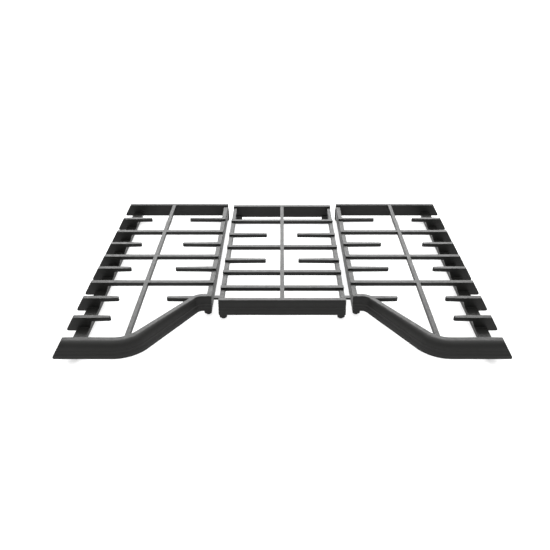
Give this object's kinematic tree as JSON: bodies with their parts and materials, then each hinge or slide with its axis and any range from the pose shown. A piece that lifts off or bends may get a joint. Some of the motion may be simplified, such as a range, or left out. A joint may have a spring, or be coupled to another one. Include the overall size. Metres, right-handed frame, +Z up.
{
  "type": "cooktop grate set",
  "caption": "Cast iron cooktop grate set: a straight centre grate between mirrored side grates with S-curved stepped front rails, open burner fingers and sloping finned outer sides.",
  "frame": {"origin": "on the cooktop surface, under the middle of the whole set's bounding box", "axes": "+X to the right along the row of grates, +Y towards the back of the cooktop, +Z up"},
  "size_m": [0.72, 0.4932, 0.037],
  "materials": {
    "enamelled_iron": "matt black vitreous enamel over cast iron, fine orange-peel grain, satin sheen on the rounded edges",
    "bumper_rubber": "matt black moulded silicone rubber"
  },
  "bodies": {
    "centre_grate": {"centre_grate": "enamelled_iron", "centre_bumper_left_rear": "bumper_rubber", "centre_bumper_left_front": "bumper_rubber", "centre_bumper_right_rear": "bumper_rubber", "centre_bumper_right_front": "bumper_rubber"},
    "left_grate": {"left_grate": "enamelled_iron", "left_bumper_inner_rear": "bumper_rubber", "left_bumper_inner_front": "bumper_rubber", "left_bumper_outer_rear": "bumper_rubber", "left_bumper_outer_front": "bumper_rubber"},
    "right_grate": {"right_grate": "enamelled_iron", "right_bumper_inner_rear": "bumper_rubber", "right_bumper_inner_front": "bumper_rubber", "right_bumper_outer_rear": "bumper_rubber", "right_bumper_outer_front": "bumper_rubber"}
  },
  "joints": [
    {"name": "left_grate_lift", "type": "slide", "parent": "centre_grate", "child": "left_grate", "axis": [0, 0, 1], "range_m": [0, 0.12]},
    {"name": "right_grate_lift", "type": "slide", "parent": "centre_grate", "child": "right_grate", "axis": [0, 0, 1], "range_m": [0, 0.12]}
  ]
}
